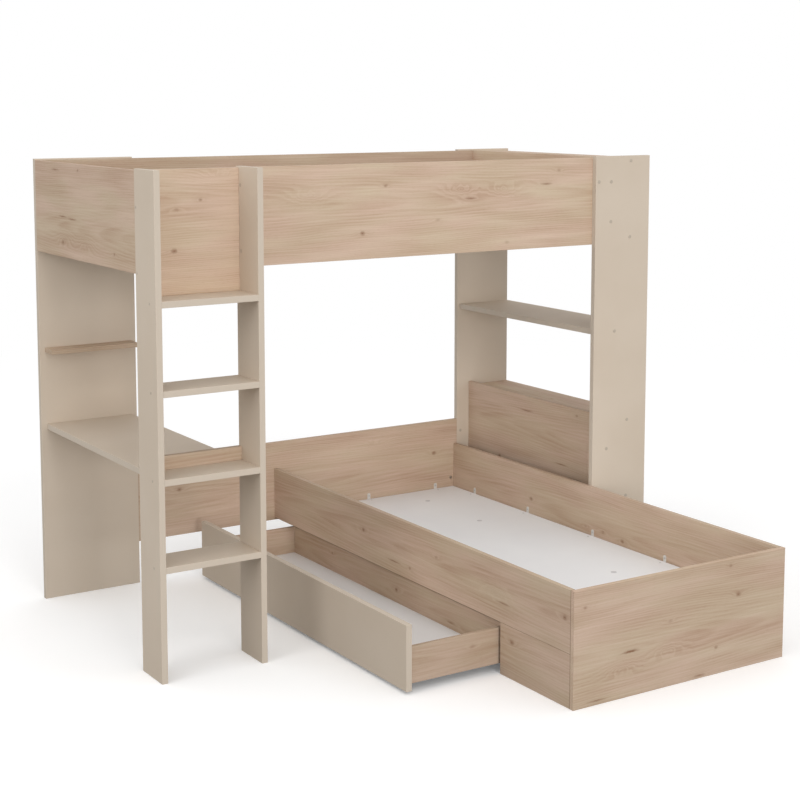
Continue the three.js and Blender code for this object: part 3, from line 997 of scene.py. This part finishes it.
@dataclass
class Ladder:
    """Two stiles with rungs between them and a board at the top. Covers hide the cams in the stiles."""

    palette: Palette
    screw_inset: float = 51 * MM
    board_shares: Pair = (0.19, 0.71)
    cam_inset: float = 33 * MM
    cam_margin: float = 60 * MM

    def build(self) -> None:
        """Dresses the ladder and fits its caps and cam covers."""
        dress(("ladder_left_stile", "ladder_right_stile"), self.palette.beige[Axis.X])
        dress(("ladder_rung_low", "ladder_rung_high", "ladder_rung_top"), self.palette.beige[Axis.Z])
        knots = {
            Mark.PIN_KNOT: ((210, 320),), Mark.KNOT: ((110, 150),), Mark.FAINT: ((120, 290),),
            Mark.SWIRL: ((290, 400),),
        }
        # tone=1.08 is painted light on the back board
        dress_in_wood(WoodPrint("ladder_back_board", Lie.RAIL, 0.75, 0.025, 3.1, knots, tone=1.08))
        self._fit("left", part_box("ladder_left_stile"), Facing.LEFT, Facing.RIGHT)
        self._fit("right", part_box("ladder_right_stile"), Facing.RIGHT, Facing.LEFT)

    def _fit(self, side: str, stile: tuple[Vector, Vector], outward: Facing, inward: Facing) -> None:
        """Fits one stile's caps outside and its cam covers inside.

        Args:
            side: The stile's name.
            stile: Its corners.
            outward: The way its outer face looks.
            inward: The way its inner face looks.
        """
        low, high = stile
        outer, inner = (low.x, high.x) if outward is Facing.LEFT else (high.x, low.x)
        rungs = ("ladder_rung_low", "desk_top", "ladder_rung_high", "ladder_rung_top")
        places = [(low.y + self.screw_inset, place_of(name)[2].z) for name in rungs]
        board_low, board_high, board_middle = place_of("ladder_back_board")
        places += [(board_middle.y, share(board_low.z, board_high.z, part)) for part in self.board_shares]
        caps = [Seat(Vector((outer, y, z)), outward) for y, z in places]
        rail_low, rail_high, _ = place_of("upper_front_rail")
        heights = (rail_low.z + self.cam_margin, rail_high.z - self.cam_margin)
        cams = [Seat(Vector((inner, high.y - self.cam_inset, z)), inward) for z in heights]
        cap = self.palette.cap
        set_out(f"ladder_{side}_stile_caps", COVER_CAP, caps, cap, "carcass")
        set_out(f"ladder_{side}_stile_cam_covers", CAM_COVER, cams, cap, "carcass")


@dataclass
class Desk:
    """The desk top, the low board on it and the small wall shelf."""

    palette: Palette

    def build(self) -> None:
        """Dresses the desk's boards."""
        dress(("desk_top",), self.palette.beige[Axis.Z])
        dress_in_wood(
            # The upstand's tone of 0.93 is painted shade
            WoodPrint("desk_upstand", Lie.RAIL, 1.6, 0.015, 5.7, tone=0.93),
            WoodPrint("wall_shelf", Lie.WALL_SHELF, 1.4, 0.015, 6.3),
        )


@dataclass
class UpperBunk:
    """The upper bunk's box, with its base board on two ledges."""

    palette: Palette

    def build(self) -> None:
        """Dresses the upper bunk."""
        rail = {
            Mark.KNOT: ((870, 95),), Mark.PIN_KNOT: ((970, 265),), Mark.EYE: ((1350, 205), (1710, 250)),
            Mark.FAINT: ((1200, 130), (1520, 30), (1770, 300)),
            Mark.SWIRL: ((1300, 240), (650, 240), (1500, 236)),
        }
        end = {
            Mark.STREAK: ((730, 320), (660, 150), (565, 145)), Mark.PIN_KNOT: ((505, 325), (180, 50)),
            Mark.KNOT: ((665, 55),), Mark.SWIRL: ((440, 62), (640, 72)),
        }
        rear = {Mark.PIN_KNOT: ((420, 210),), Mark.KNOT: ((1240, 120),), Mark.EYE: ((1600, 260),)}
        right = {Mark.KNOT: ((300, 240),), Mark.EYE: ((700, 110),)}
        dress_in_wood(
            # The front rail's tone of 1.07 is painted light
            WoodPrint("upper_front_rail", Lie.RAIL, 0.62, 0.02, 1.0, rail, tone=1.07),
            # The rear rail's tone of 0.88 is painted shadow, as cast by the front rail
            WoodPrint("upper_rear_rail", Lie.RAIL, 0.4, 0.02, 2.3, rear, tone=0.88),
            WoodPrint("upper_left_end", Lie.SIDE, 0.35, 0.03, 4.4, end),
            WoodPrint("upper_right_end", Lie.SIDE, 0.6, 0.02, 7.9, right),
            WoodPrint("upper_front_ledge", Lie.RAIL, 2.0, 0.015, 8.1),
            WoodPrint("upper_rear_ledge", Lie.RAIL, 2.0, 0.015, 9.2),
        )
        dress(("upper_base",), self.palette.white[Axis.Z])


@dataclass
class CrossBoard:
    """The board behind the lower bed, with a cam at each end."""

    palette: Palette
    cam_inset: float = 33 * MM
    cam_lift: float = 67 * MM

    def build(self) -> None:
        """Dresses the cross board and fits its cams."""
        knots = {
            Mark.KNOT: ((1435, 190), (180, 190)), Mark.FAINT: ((760, 110),), Mark.SWIRL: ((1120, 265),),
        }
        dress_in_wood(WoodPrint("cross_board", Lie.RAIL, 0.45, 0.02, 11.3, knots))
        low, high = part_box("cross_board")
        height = low.z + self.cam_lift
        across = (low.x + self.cam_inset, high.x - self.cam_inset)
        cams = [Seat(Vector((x, low.y, height)), Facing.FRONT) for x in across]
        set_out("cross_board_cams", CAM_DISC, cams, self.palette.cam, "carcass")


@dataclass
class Bookcase:
    """The shelves at the right and the low cabinet under them.

    Each shelf's knot, pith and seed move on one step from the last shelf's.
    """

    palette: Palette
    shelves: tuple[str, ...] = (
        "bookcase_top_shelf", "bookcase_upper_shelf", "cabinet_top", "cabinet_shelf", "cabinet_bottom",
    )
    first_knot: Pair = (240.0, 60.0)
    knot_step: Pair = (110.0, 12.0)
    first_pith: float = 0.3
    pith_step: float = 0.1
    first_seed: float = 13.0

    def build(self) -> None:
        """Dresses the bookcase."""
        side = {
            Mark.STREAK: ((505, 610), (260, 420)), Mark.PIN_KNOT: ((160, 645),), Mark.KNOT: ((700, 375),),
        }
        dress_in_wood(WoodPrint("cabinet_side", Lie.SIDE, 0.8, 0.025, 12.9, side))
        for turn, name in enumerate(self.shelves):
            along, across = (first + turn * step for first, step in zip(self.first_knot, self.knot_step))
            knots = {Mark.PIN_KNOT: ((along, across),)}
            pith = self.first_pith + turn * self.pith_step
            dress_in_wood(WoodPrint(name, Lie.SHELF, pith, seed=self.first_seed + turn, knots=knots))
        dress(("bookcase_middle_shelf",), self.palette.beige[Axis.Z])


@dataclass
class LowerBed:
    """The lower bed, whose white base lies on clips and a centre beam."""

    palette: Palette
    side_clips: int = 5
    cross_clips: int = 3
    clip_wall: float = 2 * MM
    clip_screw_lift: float = 32 * MM
    base_screw_inset: float = 24 * MM
    beam_cap_clips: tuple[int, ...] = (2, 4, 5)

    def build(self) -> None:
        """Dresses the lower bed and fits its screws and caps."""
        foot = {
            Mark.KNOT: ((720, 265),), Mark.PIN_KNOT: ((620, 95), (45, 335), (680, 372)),
            Mark.EYE: ((240, 155), (545, 10)), Mark.FAINT: ((410, 225),),
            Mark.SWIRL: ((200, 100), (400, 125)), Mark.STREAK: ((100, 15), (235, 152)),
        }
        near = {
            Mark.KNOT: ((30, 115), (1280, 115)), Mark.STREAK: ((365, 70), (1060, 45)),
            Mark.SWIRL: ((410, 95),), Mark.PIN_KNOT: ((950, 45),), Mark.FAINT: ((775, 130),),
        }
        far = {Mark.KNOT: ((1425, 80), (830, 35)), Mark.PIN_KNOT: ((950, 45),), Mark.FAINT: ((1060, 45),)}
        plinth = {Mark.KNOT: ((315, 130),)}
        # Sides with painted shadow lines: the bed sides along the plinths and at the footboard, the plinths
        # at the footboard
        over_plinth, foot_end = (Side.START, Side.LOW), (Side.START,)
        dress_in_wood(
            # The footboard's tone of 0.97 is painted shade
            WoodPrint("footboard", Lie.RAIL, 0.4, 0.025, 21.7, foot, tone=0.97, edge_tone=1.08),
            WoodPrint("lower_near_side", Lie.SIDE, 0.5, 0.02, 22.9, near, over_plinth),
            WoodPrint("lower_far_side", Lie.SIDE, 0.3, 0.02, 24.1, far, over_plinth),
            WoodPrint("lower_near_plinth", Lie.SIDE, 0.6, 0.025, 25.6, plinth, foot_end),
            WoodPrint("lower_far_plinth", Lie.SIDE, 0.4, 0.025, 26.8, {}, foot_end),
            WoodPrint("lower_centre_beam", Lie.SIDE, 0.7, 0.02, 27.2),
        )
        dress(("lower_base",), self.palette.white[Axis.Z])
        self._fit_clips()
        self._fit_beam_caps()

    def _clips(self) -> dict[str, Facing]:
        """Lists the clips.

        Returns:
            Each clip's name, with the way that its tab looks.
        """
        rows = (
            ("near", self.side_clips, Facing.RIGHT), ("far", self.side_clips, Facing.LEFT),
            ("cross", self.cross_clips, Facing.FRONT),
        )
        return {
            f"{row}_clip_{turn}": facing for row, count, facing in rows for turn in range(1, count + 1)
        }

    def _fit_clips(self) -> None:
        """Dresses the clips and puts a screw in each tab and one through the base into each flange."""
        clips = self._clips()
        dress(clips, self.palette.clip)
        base_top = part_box("lower_base")[1].z
        tabs = []
        flanges = []
        for name, facing in clips.items():
            low, high, middle = place_of(name)
            across = Axis.Y if facing is Facing.FRONT else Axis.X
            wall = (low if facing is Facing.RIGHT else high)[across]
            way = facing.value[across]
            tab, flange = middle.copy(), middle.copy()
            tab[across] = wall + way * self.clip_wall
            tab.z = low.z + self.clip_screw_lift
            tabs.append(Seat(tab, facing))
            flange[across] = wall + way * self.base_screw_inset
            flange.z = base_top
            flanges.append(Seat(flange, Facing.TOP))
        set_out("clip_tab_screws", PAN_SCREW, tabs, self.palette.screw, "carcass")
        set_out("base_screws", FLAT_SCREW, flanges, self.palette.screw, "carcass")

    def _fit_beam_caps(self) -> None:
        """Puts flat caps on the base, over the screws that go into the centre beam."""
        beam = place_of("lower_centre_beam")[2].x
        base_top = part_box("lower_base")[1].z
        places = [place_of(f"far_clip_{turn}")[2].y for turn in self.beam_cap_clips]
        caps = [Seat(Vector((beam, y, base_top)), Facing.TOP) for y in places]
        set_out("base_beam_caps", BASE_CAP, caps, self.palette.base_cap, "carcass")


@dataclass
class Drawer:
    """The drawer on four castors."""

    palette: Palette
    hole_along: float = 16 * MM
    hole_across: float = 11 * MM
    plate_lift: float = 30.5 * MM

    def build(self) -> None:
        """Dresses the drawer and fits the castors' screws."""
        dress(("drawer_front",), self.palette.beige[Axis.X])
        back = {Mark.KNOT: ((695, 65),), Mark.PIN_KNOT: ((1180, 90),), Mark.EYE: ((330, 40),)}
        near = {Mark.FAINT: ((250, 80),)}
        far = {Mark.PIN_KNOT: ((150, 50),)}
        dress_in_wood(
            # The near side's tone of 0.9 is painted shade
            WoodPrint("drawer_near_side", Lie.RAIL, 0.6, 0.025, 31.4, near, tone=0.9),
            WoodPrint("drawer_far_side", Lie.RAIL, 0.4, 0.025, 32.6, far),
            WoodPrint("drawer_back", Lie.SIDE, 0.5, 0.02, 33.8, back),
        )
        dress(("drawer_bottom",), self.palette.white[Axis.Z])
        screws = []
        for end in ("front_near", "front_far", "back_near", "back_far"):
            dress((f"castor_housing_{end}",), self.palette.housing)
            dress((f"castor_wheel_{end}",), self.palette.tyre)
            axle = place_of(f"castor_wheel_{end}")[2]
            for step in (-self.hole_along, self.hole_along):
                point = Vector((axle.x + step, axle.y + self.hole_across, self.plate_lift))
                screws.append(Seat(point, Facing.BOTTOM))
        set_out("castor_plate_screws", PLATE_SCREW, screws, self.palette.screw, "drawer")


# Studio


@dataclass(frozen=True)
class SoftBox:
    """A square lamp, placed round its target by two angles and a distance. Its power is in watts.

    Azimuth is 0 straight in front of the bed and 90 degrees at its left.
    """

    name: str
    azimuth: float
    elevation: float
    distance: float
    size: float
    power: float
    target: Triple


@dataclass
class Studio:
    """A pale floor, a bright room, and three lamps: level in front, high in front and a weak one at the left.

    The world and the floor look white to the camera without lighting the bed any more for it.
    """

    floor_radius: float = 30.0
    floor_sides: int = 64
    fade_start: float = 2.4
    fade_end: float = 7.0
    floor_colour: str = "#fafafa"
    floor_bounce: str = "#8f8f8f"
    floor_lift: float = 0.12
    room_light: float = 0.9
    lamps: tuple[SoftBox, ...] = (
        SoftBox("level_soft_box", math.radians(9), 0.0, 14.0, 4.0, 620.0, (0.0, 0.0, 1.0)),
        SoftBox("high_soft_box", math.radians(8), math.radians(38), 14.0, 5.0, 290.0, (0.0, 0.0, 1.0)),
        SoftBox("left_soft_box", math.radians(75), math.radians(18), 5.0, 2.5, 46.0, (-0.6, 0.2, 1.2)),
    )

    def build(self) -> None:
        """Sets up the floor, the room's light and the lamps."""
        self._floor()
        self._room()
        for box in self.lamps:
            self._lamp(box)
        bpy.context.scene.view_settings.view_transform = "Standard"

    def _floor(self) -> None:
        """Adds the floor, which keeps the bed's shadow and turns to plain white further out."""
        choose()
        bpy.ops.mesh.primitive_circle_add(
            vertices=self.floor_sides, radius=self.floor_radius, fill_type="NGON",
        )
        floor = bpy.context.object
        floor.name = "studio_floor"
        material, add = new_material("white_studio_floor")
        seen = add("TexCoord")
        far = add("VectorMath", {0: seen.outputs["Object"]}, operation="LENGTH")
        fade = add("MapRange", {
            "Value": far, "From Min": self.fade_start, "From Max": self.fade_end,
        }, interpolation_type="SMOOTHSTEP")
        camera_ray = add("LightPath").outputs["Is Camera Ray"]
        shade = add("Mix", {
            0: camera_ray, MIX_FIRST: linear(self.floor_bounce), MIX_SECOND: linear(self.floor_colour),
        }, data_type="RGBA")
        lit = add("BsdfDiffuse", {"Color": shade})
        lift = add("Math", {0: camera_ray, 1: self.floor_lift}, operation="MULTIPLY")
        lifted = add("Emission", {"Strength": lift})
        near = add("AddShader", {0: lit, 1: lifted})
        white = add("Emission", {"Strength": 1.0})
        seen_fade = add("Math", {0: fade, 1: camera_ray}, operation="MULTIPLY")
        both = add("MixShader", {0: seen_fade, 1: near, 2: white})
        add("OutputMaterial", {"Surface": both})
        floor.data.materials.append(material)
        LOG.info("made %s", floor.name)

    def _room(self) -> None:
        """Lights the scene evenly from a room that the camera and metal see as white."""
        world = bpy.data.worlds.new("studio_room")
        world.use_nodes = True
        world.node_tree.nodes.clear()
        add = partial(add_node, world.node_tree)
        ray = add("LightPath").outputs
        seen = add("Math", {0: ray["Is Camera Ray"], 1: ray["Is Glossy Ray"]}, operation="MAXIMUM")
        white = add("Math", {0: seen, 1: ray["Is Transmission Ray"]}, operation="MAXIMUM")
        strength = add("MapRange", {"Value": white, "To Min": self.room_light})
        room = add("Background", {"Color": linear("#ffffff"), "Strength": strength})
        add("OutputWorld", {"Surface": room})
        bpy.context.scene.world = world

    def _lamp(self, box: SoftBox) -> None:
        """Adds a square lamp that looks at its target and that the camera doesn't see.

        Args:
            box: What the lamp is and where it stands.
        """
        level, rise = math.cos(box.elevation), math.sin(box.elevation)
        way = Vector((-math.sin(box.azimuth) * level, -math.cos(box.azimuth) * level, rise))
        choose()
        bpy.ops.object.light_add(type="AREA", location=Vector(box.target) + way * box.distance)
        lamp = bpy.context.object
        lamp.name = box.name
        lamp.data.shape = "SQUARE"
        lamp.data.size = box.size
        lamp.data.energy = box.power
        lamp.visible_camera = False
        lamp.rotation_euler = (-way).to_track_quat("-Z", "Y").to_euler()


@dataclass
class PhotoCamera:
    """The photograph's point of view, found from the bed's corners in it."""

    place: Triple = (-3.2573, -4.938, 1.974)
    pitch: float = math.radians(6.59)
    yaw: float = math.radians(32.54)
    lens: float = 72.58
    shift: float = -0.15

    def build(self) -> None:
        """Adds the camera and makes it the scene's own."""
        choose()
        bpy.ops.object.camera_add(location=self.place, rotation=(math.pi / 2 - self.pitch, 0.0, -self.yaw))
        camera = bpy.context.object
        camera.name = "photo_camera"
        camera.data.lens = self.lens
        camera.data.shift_y = self.shift
        bpy.context.scene.camera = camera


def main() -> None:
    """Builds the looks around the frame."""
    logging.basicConfig(level=logging.INFO, format="%(message)s")
    PhotoCamera().build()
    palette = Palette()
    for assembly in (
        Panels(palette), Ladder(palette), Desk(palette), UpperBunk(palette), CrossBoard(palette),
        Bookcase(palette), LowerBed(palette), Drawer(palette),
    ):
        assembly.build()
    Studio().build()


if __name__ == "__main__":
    main()
